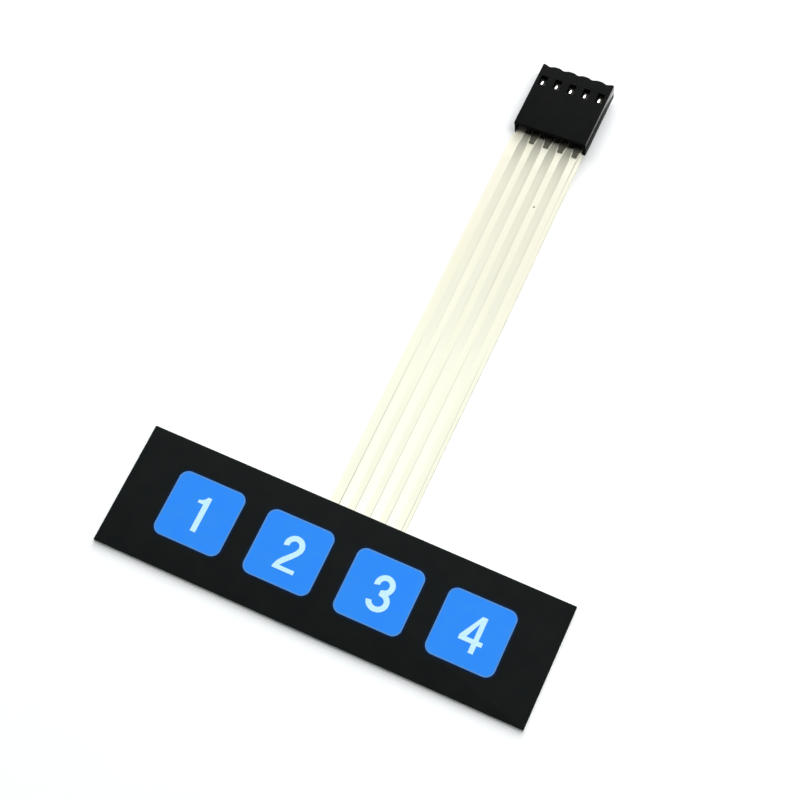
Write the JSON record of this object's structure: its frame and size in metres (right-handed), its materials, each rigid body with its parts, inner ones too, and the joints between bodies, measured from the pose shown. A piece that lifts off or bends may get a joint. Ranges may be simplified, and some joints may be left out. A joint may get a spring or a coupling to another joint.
{
  "type": "self-adhesive membrane keypad",
  "caption": "Thin self-adhesive membrane keypad: a row of numbered keys on a black panel, with a flat film tail that ends in a socket housing.",
  "frame": {"origin": "centre of the panel's back face, on the surface that it is stuck to", "axes": "+X along the row of keys from the first to the last, +Y from the panel along the tail to the connector, +Z out of the keys"},
  "size_m": [0.0706, 0.1055, 0.0044],
  "materials": {
    "liner_paper": "smooth siliconised paper",
    "adhesive": "milky acrylic adhesive film",
    "clear_film": "clear polyester film with cream printed traces",
    "milky_film": "milky polyester film",
    "black_print": "finely textured matt overlay, black with blue keys and pale numerals",
    "blue_print": "blue printed key field",
    "numeral_print": "pale printed numeral",
    "trace_print": "cream printed trace",
    "black_plastic": "satin moulded black plastic",
    "tin": "tin plated copper alloy"
  },
  "bodies": {
    "root": {"release_liner": "liner_paper", "rear_adhesive": "adhesive", "circuit_film": "clear_film", "spacer": "milky_film", "contact_film": "milky_film", "overlay_adhesive": "adhesive", "graphic_overlay": "black_print", "connector_housing": "black_plastic", "terminal_1": "tin", "terminal_2": "tin", "terminal_3": "tin", "terminal_4": "tin", "terminal_5": "tin"}
  },
  "joints": []
}
